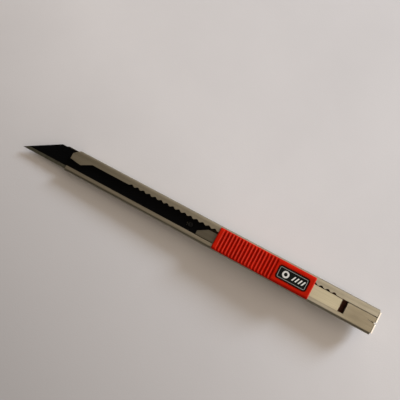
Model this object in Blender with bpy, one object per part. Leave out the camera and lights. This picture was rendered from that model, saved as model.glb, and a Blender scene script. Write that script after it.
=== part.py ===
"""A slim snap-off knife: a folded steel channel holding a long 30 degree blade.

The blade hangs on a stud of a carrier plate that runs inside the channel. A ribbed thumb slide sits on top
of the channel, riveted to the carrier through the opening between the two lips, and carries a label plate
and a leaf spring whose tooth drops into the wavy edge of the upper lip. A folded strip closes the tail end
and runs along the underside as a pocket clip.

Frame: origin in the middle of the channel's flat outer wall on the blade's spine side, +X towards the
blade's tip, +Y towards the cutting edge, +Z out of the open side of the channel. All dimensions below are
in millimetres: x from the tail end of the channel, y from its middle plane and z from its back face.
"""

import math

import bmesh
import bpy
from mathutils import Vector

MM = 0.001
BEYOND = 6.0
ROUND_STEPS = 24
CORNER_STEPS = 4

# Channel
BODY_LENGTH = 142.6
BODY_WIDTH = 10.9
BODY_HEIGHT = 5.0
SHEET = 0.5
BEND_RADIUS = 1.2

# From the construction's zero to the frame's origin, on the spine-side wall
WALL_CENTRE = Vector((0.0, -BODY_WIDTH / 2, BODY_HEIGHT / 2))

# Opening between the lips, with the cheek at its front and the tab at its tail
UPPER_LIP_Y = -2.3
LOWER_LIP_Y = 3.0
CHEEK_Y = 0.15
CHEEK_END_Y = -0.55
CHEEK_REAR = 132.5
CHEEK_FRONT = 137.2
TAB_Y = -1.95
TAB_FRONT = 12.3
TAB_CORNER = 0.5
KERF_Y = 0.35
KERF_WIDTH = 0.4
KERF_LENGTH = 2.8
CHAMFER_REAR = 139.9
CHAMFER_Y = -3.05

# Wavy locking edge of the upper lip
WAVE_PITCH = 2.855
WAVE_FIRST = 18.7
WAVE_NOTCHES = 34
WAVE_DEPTH = 0.7
WAVE_STEPS = 8

# Nose of the back plate, under the blade
NOSE_UPPER = 147.5
NOSE_UPPER_Y = -4.95
NOSE_TIP = 152.0
NOSE_TIP_Y = -2.97
NOSE_LOWER = 142.9
NOSE_STEP = 0.6
NOSE_ROUND = 1.5

# Blade
BLADE_WIDTH = 9.0
BLADE_BOTTOM = 2.8
BLADE_THICKNESS = 0.4
BLADE_EDGE_Y = 4.65
BLADE_TIP = 165.1
BLADE_REAR = 79.5
BLADE_REAR_Y = 1.05
BLADE_LAST_SECTION = 87.0
BLADE_RUN = 1.0 / math.tan(math.radians(30.0))
BEVEL_WIDTH = 1.4
EDGE_LAND = 0.04
SCORE_PITCH = 5.0
SCORE_COUNT = 15
SCORE_HALF_WIDTH = 0.16
SCORE_DEPTH = 0.1

# Stud that carries the blade
STUD_X = 83.3
STUD_Y = 0.25
STUD_RADIUS = 1.2
STUD_FLANGE_RADIUS = 2.0
STUD_BOTTOM = 1.2
STUD_SHOULDER = 1.6
STUD_TOP = 3.5
STUD_CHAMFER = 0.15
STUD_HOLE_RADIUS = 1.5

# Carrier plate: distance, middle height, upper and lower edge
PLATE = 0.6
PLATE_HIGH = 3.9
PLATE_LOW = 2.2
CARRIER_STATIONS = (
    (14.6, PLATE_HIGH, -1.85, 4.3),
    (14.9, PLATE_HIGH, -2.15, 4.6),
    (34.0, PLATE_HIGH, -2.15, 4.6),
    (36.6, PLATE_HIGH, -4.6, 4.6),
    (58.0, PLATE_HIGH, -4.6, 4.6),
    (62.0, PLATE_LOW, -4.6, 4.6),
    (65.1, PLATE_LOW, -1.45, 2.75),
    (85.5, PLATE_LOW, -1.45, 2.75),
    (86.5, PLATE_LOW, -0.45, 1.75),
)

# Thumb slide
SLIDE_REAR = 27.7
SLIDE_FRONT = 70.9
SLIDE_HALF_WIDTH = 4.85
SLIDE_MIDDLE_Y = 0.12
SLIDE_BOTTOM = 5.3
SLIDE_TOP_FRONT = 7.6
SLIDE_TOP_PAD = 8.0
PAD_FRONT = 43.4
PAD_BLEND = 6.0
SLIDE_ROUND = 0.6
END_STEPS = 4
SHOULDER_REACH = 1.3
SHOULDER_DROP = 1.0
SHOULDER_STEPS = 4
RIB_FRONT = 69.35
RIB_PITCH = 1.49
RIB_COUNT = 17
RIB_DEPTH = 0.5
RIB_STEPS = 6
NECK_REAR = 33.0
NECK_FRONT = 66.0
NECK_UPPER_Y = -0.15
NECK_LOWER_Y = 2.6
NECK_BOTTOM = 4.5
NECK_OVERLAP = 0.3

# Label plate in its recess
LABEL_REAR = 30.0
LABEL_FRONT = 42.9
LABEL_HALF_WIDTH = 2.6
LABEL_BOTTOM = 7.5
LABEL_TOP = 7.9
LABEL_CORNER = 0.9
RECESS_MARGIN = 0.35
RECESS_BOTTOM = 7.2

# Rivets that join the carrier to the slide's neck
RIVET_PLACES = (("slide_rivet_rear", 39.0), ("slide_rivet_front", 54.0))
RIVET_Y = 1.22
RIVET_RADIUS = 0.55
RIVET_HOLE_RADIUS = 0.87
RIVET_HEAD_RADIUS = 1.3
RIVET_BOTTOM = 2.9
RIVET_SHOULDER = 3.3
RIVET_TOP = 6.2
RIVET_HOLE_TOP = 6.5

# Lock spring: flat strip on edge, with a knob that turns in a socket of the neck
SPRING_BOTTOM = 4.55
SPRING_TOP = 4.95
SPRING_WIDTH = 0.5
SPRING_REAR = 35.8
SPRING_Y = -0.9
KNOB_X = 61.0
KNOB_Y = -0.55
KNOB_RADIUS = 0.55
SOCKET_RADIUS = 0.87
TOOTH_NOTCH = 7
TOOTH_Y = -1.75
TOOTH_HALF_TOP = 0.2
TOOTH_HALF_BASE = 0.95

# Tail clip
CLIP_SHEET = 0.5
CLIP_LEAF_FRONT = 11.5
CLIP_LEAF_Z = 1.05
CLIP_HALF_WIDTH = 4.5
CLIP_WALL_X = -0.6
CLIP_WALL_TOP = 4.6
CLIP_FOLD_RADIUS = 0.6
CLIP_BACK_Z = -0.6
CLIP_BOW_X = 29.0
CLIP_BOW_Z = -3.75
CLIP_PINCH_X = 45.0
CLIP_FLARE_X = 49.0
CLIP_FLARE_Z = -1.7
CLIP_TIP_HALF_WIDTH = 3.2
CLIP_SLOT_WIDTH = 0.7
CLIP_SLOT_BOTTOM = 2.2


def along(distance):
    """Distance from the channel's tail end to the frame's x."""
    return distance - BODY_LENGTH / 2


def clear_scene():
    for item in list(bpy.data.objects):
        bpy.data.objects.remove(item, do_unlink=True)


def principled(name, colour, roughness, metallic):
    material = bpy.data.materials.new(name)
    material.use_nodes = True
    shader = material.node_tree.nodes["Principled BSDF"]
    shader.inputs["Base Color"].default_value = (*colour, 1.0)
    shader.inputs["Roughness"].default_value = roughness
    shader.inputs["Metallic"].default_value = metallic
    return material


def new_object(name, bm, origin=(0.0, 0.0, 0.0)):
    """Mesh built in millimetres becomes an object in metres, in the frame, with its own origin."""
    bmesh.ops.recalc_face_normals(bm, faces=bm.faces)
    bmesh.ops.translate(bm, verts=bm.verts, vec=-Vector(origin))
    bmesh.ops.scale(bm, verts=bm.verts, vec=(MM, MM, MM))
    mesh = bpy.data.meshes.new(name)
    bm.to_mesh(mesh)
    bm.free()
    item = bpy.data.objects.new(name, mesh)
    item.location = (Vector(origin) - WALL_CENTRE) * MM
    bpy.context.collection.objects.link(item)
    return item


def part(name, bm, material, origin=(0.0, 0.0, 0.0), sharp_angle=30.0):
    item = new_object(name, bm, origin)
    item.data.materials.append(material)
    item.data.shade_smooth()
    item.data.set_sharp_from_angle(angle=math.radians(sharp_angle))
    return item


def tool(name, bm):
    item = new_object(name, bm)
    item.hide_render = True
    item.display_type = "WIRE"
    return item


def combine(target, other, operation):
    modifier = target.modifiers.new(other.name, "BOOLEAN")
    modifier.operation = operation
    modifier.solver = "EXACT"
    modifier.object = other


def loft(rings):
    """Closed body through a row of rings that hold equally many points."""
    bm = bmesh.new()
    rows = [[bm.verts.new(point) for point in ring] for ring in rings]
    count = len(rows[0])
    for lower, upper in zip(rows, rows[1:]):
        for i in range(count):
            j = (i + 1) % count
            bm.faces.new((lower[i], lower[j], upper[j], upper[i]))
    bm.faces.new(rows[0])
    bm.faces.new(rows[-1])
    return bm


def prism(outline, low, high):
    """Upright prism over an outline whose places run along the knife."""
    return loft([[(along(x), y, z) for x, y in outline] for z in (low, high)])


def box(x0, x1, y0, y1, z0, z1):
    return prism(((x0, y0), (x1, y0), (x1, y1), (x0, y1)), z0, z1)


def arc(centre, radius, start, end, steps):
    """Points on an arc, angles in degrees."""
    points = []
    for i in range(steps + 1):
        angle = math.radians(start + (end - start) * i / steps)
        points.append((centre[0] + radius * math.cos(angle), centre[1] + radius * math.sin(angle)))
    return points


def circle(centre, radius):
    return arc(centre, radius, 0.0, 360.0 - 360.0 / ROUND_STEPS, ROUND_STEPS - 1)


def fillet(before, corner, after, radius):
    """Points of the arc that rounds a corner of an outline."""
    corner = Vector(corner)
    back = (Vector(before) - corner).normalized()
    ahead = (Vector(after) - corner).normalized()
    half = back.angle(ahead) / 2.0
    centre = corner + (back + ahead).normalized() * (radius / math.sin(half))
    start = corner + back * (radius / math.tan(half)) - centre
    end = corner + ahead * (radius / math.tan(half)) - centre
    points = []
    for i in range(CORNER_STEPS + 1):
        share = i / CORNER_STEPS
        spoke = (start * (1.0 - share) + end * share).normalized() * radius
        points.append(tuple(centre + spoke))
    return points


def rounded_rectangle(x0, x1, y0, y1, radius):
    corners = ((x0, y0), (x1, y0), (x1, y1), (x0, y1))
    points = []
    for i in range(4):
        points += fillet(corners[i - 1], corners[i], corners[(i + 1) % 4], radius)
    return points


def smooth_step(value):
    value = min(max(value, 0.0), 1.0)
    return value * value * (3.0 - 2.0 * value)


def turned(centre, profile):
    """Round body about an upright axis through a profile of heights and radii."""
    return loft([[(along(x), y, z) for x, y in circle(centre, radius)] for z, radius in profile])


def offset_ring(path, thickness):
    """Closed outline of a strip of even thickness around an open path."""
    left, right = [], []
    for i, point in enumerate(path):
        spans = []
        if i > 0:
            spans.append((Vector(point) - Vector(path[i - 1])).normalized())
        if i < len(path) - 1:
            spans.append((Vector(path[i + 1]) - Vector(point)).normalized())
        direction = sum(spans, Vector((0.0, 0.0))).normalized()
        reach = thickness / 2.0 / max(direction.dot(spans[0]), 0.5)
        normal = Vector((-direction.y, direction.x)) * reach
        left.append((point[0] + normal.x, point[1] + normal.y))
        right.append((point[0] - normal.x, point[1] - normal.y))
    return left + right[::-1]


def bent_strip(path, thickness, edges):
    """Strip whose path runs in the XZ plane, with its two edges at a given y for each place."""
    outline = offset_ring(path, thickness)
    rings = []
    for i, (low, high) in enumerate(edges):
        x0, z0 = outline[i]
        x1, z1 = outline[-1 - i]
        corners = ((x0, low, z0), (x0, high, z0), (x1, high, z1), (x1, low, z1))
        rings.append([(along(x), y, z) for x, y, z in corners])
    return loft(rings)


def channel_bar(inset, radius, rear, front):
    """Rounded bar along the knife, a given distance inside the channel's outer faces."""
    half = BODY_WIDTH / 2 - inset
    section = rounded_rectangle(-half, half, inset, BODY_HEIGHT - inset, radius)
    return loft([[(along(x), y, z) for y, z in section] for x in (rear, front)])


def wavy_edge():
    points = []
    start = WAVE_FIRST - WAVE_PITCH / 2
    for i in range(WAVE_NOTCHES * WAVE_STEPS + 1):
        depth = WAVE_DEPTH * (0.5 - 0.5 * math.cos(2.0 * math.pi * i / WAVE_STEPS))
        points.append((start + WAVE_PITCH * i / WAVE_STEPS, UPPER_LIP_Y - depth))
    return points


def lip_opening():
    far = BODY_LENGTH + BEYOND * 2.0
    outline = [(-BEYOND, UPPER_LIP_Y)] + wavy_edge()
    outline += [(CHEEK_REAR, UPPER_LIP_Y), (CHEEK_FRONT, CHEEK_Y), (BODY_LENGTH, CHEEK_END_Y)]
    outline += [(far, CHEEK_END_Y), (far, LOWER_LIP_Y), (TAB_FRONT, LOWER_LIP_Y)]
    outline += fillet((TAB_FRONT, LOWER_LIP_Y), (TAB_FRONT, TAB_Y), (-BEYOND, TAB_Y), TAB_CORNER)
    outline += [(-BEYOND, TAB_Y)]
    return prism(outline, BODY_HEIGHT / 2, BODY_HEIGHT + 1.0)


def front_cut():
    """Ends the walls and lips, and leaves the back plate that runs on as the nose."""
    side = BODY_WIDTH / 2
    wide = side + 2.0
    far = BODY_LENGTH + BEYOND * 2.0
    slope = (BODY_LENGTH - CHAMFER_REAR) / (CHAMFER_Y + side)
    outline = (
        (BODY_LENGTH, wide),
        (BODY_LENGTH, CHAMFER_Y),
        (BODY_LENGTH - slope * (CHAMFER_Y + wide), -wide),
        (far, -wide),
        (far, wide),
    )
    return prism(outline, SHEET, BODY_HEIGHT + 1.0)


def nose_cut():
    side = BODY_WIDTH / 2
    far = BODY_LENGTH + BEYOND * 2.0
    upper = Vector((NOSE_UPPER, NOSE_UPPER_Y))
    tip = Vector((NOSE_TIP, NOSE_TIP_Y))
    lower = Vector((NOSE_LOWER, side))
    lower_out = lower + (lower - tip).normalized() * BEYOND
    step = CHAMFER_REAR + NOSE_STEP
    outline = [(step, -side - BEYOND), (step, NOSE_UPPER_Y), tuple(upper)]
    outline += fillet(upper, tip, lower, NOSE_ROUND)
    outline += [tuple(lower_out), (far, lower_out.y), (far, -side - BEYOND)]
    return prism(outline, -1.0, BODY_HEIGHT)


def make_channel(material):
    far = BODY_LENGTH + BEYOND * 2.0
    body = part("body_channel", channel_bar(0.0, BEND_RADIUS, 0.0, NOSE_TIP + 1.0), material)
    hollow = channel_bar(SHEET, BEND_RADIUS - SHEET, -BEYOND, far)
    combine(body, tool("channel_hollow", hollow), "DIFFERENCE")
    combine(body, tool("lip_opening", lip_opening()), "DIFFERENCE")
    combine(body, tool("front_cut", front_cut()), "DIFFERENCE")
    combine(body, tool("nose_cut", nose_cut()), "DIFFERENCE")
    half = KERF_WIDTH / 2
    kerf = box(-BEYOND, KERF_LENGTH, KERF_Y - half, KERF_Y + half, BODY_HEIGHT / 2, BODY_HEIGHT + 1.0)
    combine(body, tool("tab_kerf", kerf), "DIFFERENCE")
    return body


def blade_sections():
    """Places of the cutting edge with the depth of the score line there, from the tip backwards."""
    sections = [(BLADE_TIP, 0.0)]
    for i in range(1, SCORE_COUNT + 1):
        middle = BLADE_TIP - i * SCORE_PITCH
        sections.append((middle + SCORE_HALF_WIDTH, 0.0))
        sections.append((middle, SCORE_DEPTH))
        sections.append((middle - SCORE_HALF_WIDTH, 0.0))
    sections.append((BLADE_LAST_SECTION, 0.0))
    return sections


def make_blade(material):
    top = BLADE_BOTTOM + BLADE_THICKNESS
    middle = BLADE_BOTTOM + BLADE_THICKNESS / 2
    spine_y = BLADE_EDGE_Y - BLADE_WIDTH
    bevel_y = BLADE_EDGE_Y - BEVEL_WIDTH
    rings = []
    for edge_x, groove in blade_sections():
        section = (
            (BLADE_EDGE_Y, middle - EDGE_LAND / 2),
            (BLADE_EDGE_Y, middle + EDGE_LAND / 2),
            (bevel_y, top - groove),
            (BLADE_REAR_Y, top - groove),
            (spine_y, top - groove),
            (spine_y, BLADE_BOTTOM),
            (BLADE_REAR_Y, BLADE_BOTTOM),
            (bevel_y, BLADE_BOTTOM),
        )
        rings.append([(along(edge_x - (BLADE_EDGE_Y - y) * BLADE_RUN), y, z) for y, z in section])
    heel = [(along(BLADE_REAR - max(BLADE_REAR_Y - y, 0.0) * BLADE_RUN), y, z) for _, y, z in rings[0]]
    rings.append(heel)
    blade = part("blade", loft(rings), material, (along(STUD_X), STUD_Y, middle), 5.0)
    hole = prism(circle((STUD_X, STUD_Y), STUD_HOLE_RADIUS), 0.0, BODY_HEIGHT)
    combine(blade, tool("blade_hole", hole), "DIFFERENCE")
    return blade


def make_carrier(material):
    path = [(x, z) for x, z, _, _ in CARRIER_STATIONS]
    edges = [(low, high) for _, _, low, high in CARRIER_STATIONS]
    origin = (along(STUD_X), 0.0, PLATE_LOW)
    carrier = part("blade_carrier", bent_strip(path, PLATE, edges), material, origin)
    hole = prism(circle((STUD_X, STUD_Y), STUD_HOLE_RADIUS), 0.0, BODY_HEIGHT)
    combine(carrier, tool("stud_hole", hole), "DIFFERENCE")
    for name, x in RIVET_PLACES:
        hole = prism(circle((x, RIVET_Y), RIVET_HOLE_RADIUS), PLATE_LOW, BODY_HEIGHT)
        combine(carrier, tool(name + "_hole", hole), "DIFFERENCE")
    return carrier


def make_stud(material):
    profile = (
        (STUD_BOTTOM, STUD_FLANGE_RADIUS),
        (STUD_SHOULDER, STUD_FLANGE_RADIUS),
        (STUD_SHOULDER, STUD_RADIUS),
        (STUD_TOP - STUD_CHAMFER, STUD_RADIUS),
        (STUD_TOP, STUD_RADIUS - STUD_CHAMFER),
    )
    origin = (along(STUD_X), STUD_Y, STUD_BOTTOM)
    return part("blade_stud", turned((STUD_X, STUD_Y), profile), material, origin)


def make_rivet(name, x, material):
    profile = (
        (RIVET_BOTTOM, RIVET_HEAD_RADIUS - 0.2),
        (RIVET_BOTTOM + 0.2, RIVET_HEAD_RADIUS),
        (RIVET_SHOULDER, RIVET_HEAD_RADIUS),
        (RIVET_SHOULDER, RIVET_RADIUS),
        (RIVET_TOP, RIVET_RADIUS),
    )
    origin = (along(x), RIVET_Y, RIVET_BOTTOM)
    return part(name, turned((x, RIVET_Y), profile), material, origin)


def slide_top(x):
    """Height of the thumb slide's top, which rises to the pad at its rear."""
    rise = smooth_step(1.0 - (x - PAD_FRONT) / PAD_BLEND)
    return SLIDE_TOP_FRONT + (SLIDE_TOP_PAD - SLIDE_TOP_FRONT) * rise


def slide_stations():
    """Places along the slide with the drop of its rounded ends and the depth of the grooves there."""
    stations = []
    for i in range(END_STEPS):
        angle = math.radians(90.0 * i / END_STEPS)
        back = SLIDE_ROUND * (1.0 - math.cos(angle))
        stations.append((SLIDE_REAR + back, SLIDE_ROUND * (1.0 - math.sin(angle)), 0.0))
    stations.append((SLIDE_REAR + SLIDE_ROUND, 0.0, 0.0))
    rear = RIB_FRONT - RIB_PITCH * RIB_COUNT
    for i in range(RIB_COUNT * RIB_STEPS + 1):
        depth = RIB_DEPTH * (0.5 - 0.5 * math.cos(2.0 * math.pi * i / RIB_STEPS))
        stations.append((rear + RIB_PITCH * i / RIB_STEPS, 0.0, depth))
    stations.append((SLIDE_FRONT - SLIDE_ROUND, 0.0, 0.0))
    for i in range(END_STEPS - 1, -1, -1):
        angle = math.radians(90.0 * i / END_STEPS)
        back = SLIDE_ROUND * (1.0 - math.cos(angle))
        stations.append((SLIDE_FRONT - back, SLIDE_ROUND * (1.0 - math.sin(angle)), 0.0))
    return stations


def slide_body():
    """Bar with rounded shoulders, and grooves that run straight across and end on the shoulders."""
    side = SLIDE_HALF_WIDTH
    rings = []
    for x, drop, groove in slide_stations():
        top = slide_top(x) - drop
        half = []
        for i in range(SHOULDER_STEPS + 1):
            angle = math.radians(90.0 * i / SHOULDER_STEPS)
            inward = SHOULDER_REACH * (1.0 - math.cos(angle))
            lower = SHOULDER_DROP * (1.0 - math.sin(angle))
            half.append((side - inward, top - max(lower, groove)))
        ring = [(-y, z) for y, z in half] + [(y, z) for y, z in reversed(half)]
        ring += [(side, SLIDE_BOTTOM), (-side, SLIDE_BOTTOM)]
        rings.append([(along(x), SLIDE_MIDDLE_Y + y, z) for y, z in ring])
    return loft(rings)


def neck():
    """Neck that reaches down between the lips, with the socket for the spring's knob in one side."""
    lift = NECK_UPPER_Y - KNOB_Y
    start = math.degrees(math.asin(lift / SOCKET_RADIUS))
    outline = [(NECK_REAR, NECK_LOWER_Y), (NECK_FRONT, NECK_LOWER_Y), (NECK_FRONT, NECK_UPPER_Y)]
    outline += arc((KNOB_X, KNOB_Y), SOCKET_RADIUS, start, 180.0 - start, 10)
    outline += [(NECK_REAR, NECK_UPPER_Y)]
    return prism(outline, NECK_BOTTOM, SLIDE_BOTTOM + NECK_OVERLAP)


def make_slide(material):
    origin = (along(SLIDE_FRONT), 0.0, SLIDE_BOTTOM)
    slide = part("thumb_slide", slide_body(), material, origin, 40.0)
    combine(slide, tool("slide_neck", neck()), "UNION")
    margin = RECESS_MARGIN
    half = LABEL_HALF_WIDTH + margin
    low, high = LABEL_REAR - margin, LABEL_FRONT + margin
    outline = rounded_rectangle(low, high, -half, half, LABEL_CORNER + margin)
    recess = tool("label_recess", prism(outline, RECESS_BOTTOM, SLIDE_TOP_PAD + 1.0))
    combine(slide, recess, "DIFFERENCE")
    for name, x in RIVET_PLACES:
        hole = prism(circle((x, RIVET_Y), RIVET_HOLE_RADIUS), NECK_BOTTOM - 1.0, RIVET_HOLE_TOP)
        combine(slide, tool(name + "_bore", hole), "DIFFERENCE")
    return slide


def make_label(material):
    half = LABEL_HALF_WIDTH
    outline = rounded_rectangle(LABEL_REAR, LABEL_FRONT, -half, half, LABEL_CORNER)
    origin = (along((LABEL_REAR + LABEL_FRONT) / 2), 0.0, LABEL_BOTTOM)
    return part("label_plate", prism(outline, LABEL_BOTTOM, LABEL_TOP), material, origin)


def make_spring(material):
    """The knob is a round cylinder joined to the strip, centred on the hinge axis."""
    tooth = WAVE_FIRST + WAVE_PITCH * TOOTH_NOTCH
    path = (
        (SPRING_REAR, SPRING_Y),
        (tooth - TOOTH_HALF_BASE, SPRING_Y),
        (tooth - TOOTH_HALF_TOP, TOOTH_Y),
        (tooth + TOOTH_HALF_TOP, TOOTH_Y),
        (tooth + TOOTH_HALF_BASE, SPRING_Y),
        (KNOB_X, SPRING_Y),
    )
    origin = (along(KNOB_X), KNOB_Y, SPRING_BOTTOM)
    strip = prism(offset_ring(path, SPRING_WIDTH), SPRING_BOTTOM, SPRING_TOP)
    spring = part("lock_spring", strip, material, origin)
    knob = prism(circle((KNOB_X, KNOB_Y), KNOB_RADIUS), SPRING_BOTTOM, SPRING_TOP)
    combine(spring, tool("spring_knob", knob), "UNION")
    return spring


def clip_leaf_path():
    """Middle line of the outer leaf, from the top of the end wall to the free end."""
    radius = CLIP_FOLD_RADIUS
    centre = (CLIP_WALL_X + radius, CLIP_BACK_Z + radius)
    path = [(CLIP_WALL_X, CLIP_WALL_TOP)] + arc(centre, radius, 180.0, 270.0, CORNER_STEPS)
    spans = (
        (centre[0], CLIP_BACK_Z, CLIP_BOW_X, CLIP_BOW_Z, 10),
        (CLIP_BOW_X, CLIP_BOW_Z, CLIP_PINCH_X, CLIP_BACK_Z, 8),
        (CLIP_PINCH_X, CLIP_BACK_Z, CLIP_FLARE_X, CLIP_FLARE_Z, 5),
    )
    for x0, z0, x1, z1, steps in spans:
        for i in range(1, steps + 1):
            share = i / steps
            path.append((x0 + (x1 - x0) * share, z0 + (z1 - z0) * smooth_step(share)))
    return path


def make_clip(material):
    path = clip_leaf_path()
    edges = []
    for x, _ in path:
        taper = smooth_step((x - CLIP_BOW_X) / (CLIP_FLARE_X - CLIP_BOW_X))
        half = CLIP_HALF_WIDTH + (CLIP_TIP_HALF_WIDTH - CLIP_HALF_WIDTH) * taper
        edges.append((-half, half))
    origin = (along(0.0), 0.0, CLIP_LEAF_Z)
    clip = part("tail_clip", bent_strip(path, CLIP_SHEET, edges), material, origin)
    half = CLIP_HALF_WIDTH
    low, high = CLIP_LEAF_Z - CLIP_SHEET / 2, CLIP_LEAF_Z + CLIP_SHEET / 2
    combine(clip, tool("clip_inner_leaf", box(CLIP_WALL_X, CLIP_LEAF_FRONT, -half, half, low, high)), "UNION")
    slot = CLIP_SLOT_WIDTH / 2
    opening = box(-BEYOND, BEYOND, KERF_Y - slot, KERF_Y + slot, CLIP_SLOT_BOTTOM, BODY_HEIGHT + 1.0)
    combine(clip, tool("clip_slot", opening), "DIFFERENCE")
    return clip


def carry(children, parent):
    for child in children:
        child.parent = parent
        child.location = child.location - parent.location


def main():
    clear_scene()
    channel_steel = principled("channel_steel", (0.47, 0.43, 0.37), 0.32, 1.0)
    clip_steel = principled("clip_steel", (0.44, 0.40, 0.33), 0.35, 1.0)
    carrier_steel = principled("carrier_steel", (0.55, 0.50, 0.42), 0.30, 1.0)
    stud_steel = principled("stud_steel", (0.035, 0.035, 0.036), 0.35, 0.8)
    rivet_steel = principled("rivet_steel", (0.58, 0.57, 0.55), 0.30, 1.0)
    spring_steel = principled("spring_steel", (0.50, 0.48, 0.45), 0.30, 1.0)
    blade_black = principled("blade_black", (0.012, 0.012, 0.014), 0.38, 0.6)
    slide_red = principled("slide_red", (0.48, 0.018, 0.010), 0.36, 0.0)
    label_black = principled("label_black", (0.010, 0.010, 0.010), 0.25, 0.0)

    make_channel(channel_steel)
    make_clip(clip_steel)
    slide_rail = bpy.data.objects.new("slide_rail", None)
    slide_rail.location = (Vector((along(STUD_X), 0.0, PLATE_LOW)) - WALL_CENTRE) * MM
    bpy.context.collection.objects.link(slide_rail)
    riders = [
        make_carrier(carrier_steel),
        make_stud(stud_steel),
        make_blade(blade_black),
        make_slide(slide_red),
        make_label(label_black),
        make_spring(spring_steel),
    ]
    riders += [make_rivet(name, x, rivet_steel) for name, x in RIVET_PLACES]
    carry(riders, slide_rail)


main()
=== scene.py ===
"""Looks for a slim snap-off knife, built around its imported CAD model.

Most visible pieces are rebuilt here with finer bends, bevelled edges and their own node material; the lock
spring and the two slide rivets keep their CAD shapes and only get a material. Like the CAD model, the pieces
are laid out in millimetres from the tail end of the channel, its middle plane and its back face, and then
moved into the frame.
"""

import math

import bmesh
import bpy
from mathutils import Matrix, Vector


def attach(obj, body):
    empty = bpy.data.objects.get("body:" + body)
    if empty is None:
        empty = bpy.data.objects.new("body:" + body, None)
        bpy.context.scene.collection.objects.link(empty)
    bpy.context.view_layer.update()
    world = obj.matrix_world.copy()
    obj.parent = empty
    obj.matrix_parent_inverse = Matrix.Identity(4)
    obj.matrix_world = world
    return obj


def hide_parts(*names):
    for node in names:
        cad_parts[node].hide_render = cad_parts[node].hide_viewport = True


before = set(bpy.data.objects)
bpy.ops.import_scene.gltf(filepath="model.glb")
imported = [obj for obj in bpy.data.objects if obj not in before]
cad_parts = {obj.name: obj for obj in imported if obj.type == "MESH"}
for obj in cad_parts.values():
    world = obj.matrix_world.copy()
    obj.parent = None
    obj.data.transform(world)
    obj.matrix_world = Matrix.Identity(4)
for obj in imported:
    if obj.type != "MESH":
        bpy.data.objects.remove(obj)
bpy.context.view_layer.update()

MM = 0.001
# How far cutters stand past the piece, along it and up or down
BEYOND = 6.0
CLEAR = 1.0

# Channel
BODY_LENGTH = 142.6
BODY_WIDTH = 10.9
BODY_HEIGHT = 5.0
SHEET = 0.5
INSIDE_MARGIN = 0.8 * SHEET
BEND_RADIUS = 1.2
WALL_CENTRE = Vector((0.0, -BODY_WIDTH / 2, BODY_HEIGHT / 2))
UPPER_LIP_Y = -2.3
LOWER_LIP_Y = 3.0
CHEEK_Y = 0.15
CHEEK_END_Y = -0.55
CHEEK_REAR = 132.5
CHEEK_FRONT = 137.2
TAB_Y = -1.95
TAB_FRONT = 12.3
TAB_CORNER = 0.5
KERF_Y = 0.35
KERF_WIDTH = 0.4
KERF_LENGTH = 2.8
CHAMFER_REAR = 139.9
CHAMFER_Y = -3.05
WAVE_PITCH = 2.855
WAVE_FIRST = 18.7
WAVE_NOTCHES = 34
WAVE_DEPTH = 0.7
WAVE_STEPS = 14
NOSE_UPPER = 147.5
NOSE_UPPER_Y = -4.95
NOSE_TIP = 152.0
NOSE_TIP_Y = -2.97
NOSE_LOWER = 142.9
NOSE_STEP = 0.6
NOSE_ROUND = 1.5

# Blade
BLADE_WIDTH = 9.0
BLADE_BOTTOM = 2.8
BLADE_THICKNESS = 0.4
BLADE_EDGE_Y = 4.65
BLADE_TIP = 165.1
BLADE_REAR = 79.5
BLADE_REAR_Y = 1.05
BLADE_LAST_SECTION = 87.0
BLADE_RUN = 1.0 / math.tan(math.radians(30.0))
BEVEL_WIDTH = 1.4
EDGE_LAND = 0.04
SCORE_PITCH = 5.0
SCORE_COUNT = 15
SCORE_HALF_WIDTH = 0.16
SCORE_DEPTH = 0.1
STUD_X = 83.3
STUD_Y = 0.25
STUD_HOLE_RADIUS = 1.5

# Turned stud, as height and radius from its flange up to its dimple
STUD_PROFILE = (
    (1.20, 1.90),
    (1.30, 2.00),
    (1.60, 2.00),
    (1.60, 1.20),
    (3.30, 1.20),
    (3.41, 1.16),
    (3.48, 1.07),
    (3.50, 0.95),
    (3.50, 0.45),
    (3.40, 0.25),
)

# Carrier plate: distance, middle height, upper and lower edge
PLATE = 0.6
PLATE_HIGH = 3.9
PLATE_LOW = 2.2
CARRIER_STATIONS = (
    (14.6, PLATE_HIGH, -1.85, 4.3),
    (14.9, PLATE_HIGH, -2.15, 4.6),
    (34.0, PLATE_HIGH, -2.15, 4.6),
    (36.6, PLATE_HIGH, -4.6, 4.6),
    (58.0, PLATE_HIGH, -4.6, 4.6),
    (62.0, PLATE_LOW, -4.6, 4.6),
    (65.1, PLATE_LOW, -1.45, 2.75),
    (85.5, PLATE_LOW, -1.45, 2.75),
    (86.5, PLATE_LOW, -0.45, 1.75),
)
RIVET_PLACES = (39.0, 54.0)
RIVET_Y = 1.22
RIVET_HOLE_RADIUS = 0.87
RIVET_HOLE_TOP = 6.5

# Thumb slide
SLIDE_REAR = 27.7
SLIDE_FRONT = 70.9
SLIDE_HALF_WIDTH = 4.85
SLIDE_MIDDLE_Y = 0.12
SLIDE_BOTTOM = 5.3
SLIDE_TOP_FRONT = 7.6
SLIDE_TOP_PAD = 8.0
PAD_FRONT = 43.4
PAD_BLEND = 6.0
SLIDE_ROUND = 0.6
END_NARROWING = 0.35
END_STEPS = 6
SHOULDER_REACH = 1.3
SHOULDER_DROP = 1.0
SHOULDER_STEPS = 9
RIB_FRONT = 69.35
RIB_PITCH = 1.49
RIB_COUNT = 17
RIB_DEPTH = 0.5
RIB_STEPS = 10
GROOVE_SHARPNESS = 1.25
NECK_REAR = 33.0
NECK_FRONT = 66.0
NECK_UPPER_Y = -0.15
NECK_LOWER_Y = 2.6
NECK_BOTTOM = 4.5
NECK_OVERLAP = 0.3
KNOB_X = 61.0
KNOB_Y = -0.55
SOCKET_RADIUS = 0.87

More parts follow.
